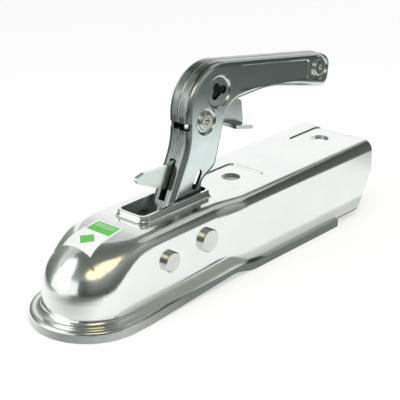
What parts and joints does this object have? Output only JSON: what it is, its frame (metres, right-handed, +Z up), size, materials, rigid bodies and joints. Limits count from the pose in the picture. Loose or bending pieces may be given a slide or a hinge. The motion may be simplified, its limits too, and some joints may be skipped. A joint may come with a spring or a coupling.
{
  "type": "trailer coupling head",
  "caption": "Zinc-plated pressed-steel trailer coupling head: domed ball socket, square drawbar channel, raised two-shell locking handle with a finger trigger, and a linked ball jaw inside.",
  "frame": {"origin": "centre of the tow ball that the socket holds", "axes": "+X forward to the nose, +Y to the left side, +Z up"},
  "size_m": [0.2894, 0.0768, 0.1384],
  "materials": {
    "housing_zinc": "bright zinc plating on smooth deep-drawn sheet",
    "handle_zinc": "bright zinc plating on pressed sheet",
    "rivet_zinc": "satin zinc on upset rivet heads",
    "lever_zinc": "zinc plating on stamped plate, sheared edges",
    "inner_steel": "turned and stamped steel, zinc plated",
    "jaw_iron": "cast, plated, smooth on the ball face",
    "spring_steel": "drawn spring wire"
  },
  "bodies": {
    "housing": {"housing": "housing_zinc", "handle_pivot_pin": "rivet_zinc", "handle_spacer_left": "inner_steel", "handle_spacer_right": "inner_steel", "jaw_pivot_pin": "rivet_zinc", "jaw_spacer_left": "inner_steel", "jaw_spacer_right": "inner_steel", "closing_spring": "spring_steel"},
    "handle": {"handle_left_shell": "handle_zinc", "handle_right_shell": "handle_zinc", "grip_rivet": "rivet_zinc", "grip_spacer": "inner_steel", "lever_rivet": "rivet_zinc", "lever_sleeve_left": "inner_steel", "lever_sleeve_right": "inner_steel", "lever_spring": "spring_steel", "handle_pivot_bush": "inner_steel", "handle_link_pin": "inner_steel", "link_washers": "inner_steel", "spring_seat": "inner_steel"},
    "lever": {"safety_lever": "lever_zinc"},
    "jaw": {"ball_jaw": "jaw_iron", "jaw_link_pin": "inner_steel"},
    "link": {"jaw_link": "inner_steel"}
  },
  "joints": [
    {"name": "handle_hinge", "type": "hinge", "parent": "housing", "child": "handle", "pos_m": [-0.075, 0, 0.0135], "axis": [0, 1, 0], "range_deg": [0, 20], "stiffness_Nm_per_rad": 8, "springref_deg": -20.05, "deforming": ["closing_spring"]},
    {"name": "lever_hinge", "type": "hinge", "parent": "handle", "child": "lever", "pos_m": [-0.0982, 0, 0.0821], "axis": [0, 1, 0], "range_deg": [0, 12], "stiffness_Nm_per_rad": 0.5, "springref_deg": -22.92, "deforming": ["lever_spring"]},
    {"name": "jaw_hinge", "type": "hinge", "parent": "housing", "child": "jaw", "pos_m": [-0.04, 0, 0.011], "axis": [0, 1, 0], "range_deg": [0, 16]},
    {"name": "link_hinge", "type": "hinge", "parent": "handle", "child": "link", "pos_m": [-0.0754, 0, -0.0041], "axis": [0, 1, 0], "range_deg": [-20, 0]}
  ],
  "couplings": [
    {"joint": "jaw_hinge", "follows": "handle_hinge", "ratio": 0.8},
    {"joint": "link_hinge", "follows": "handle_hinge", "ratio": -1}
  ]
}
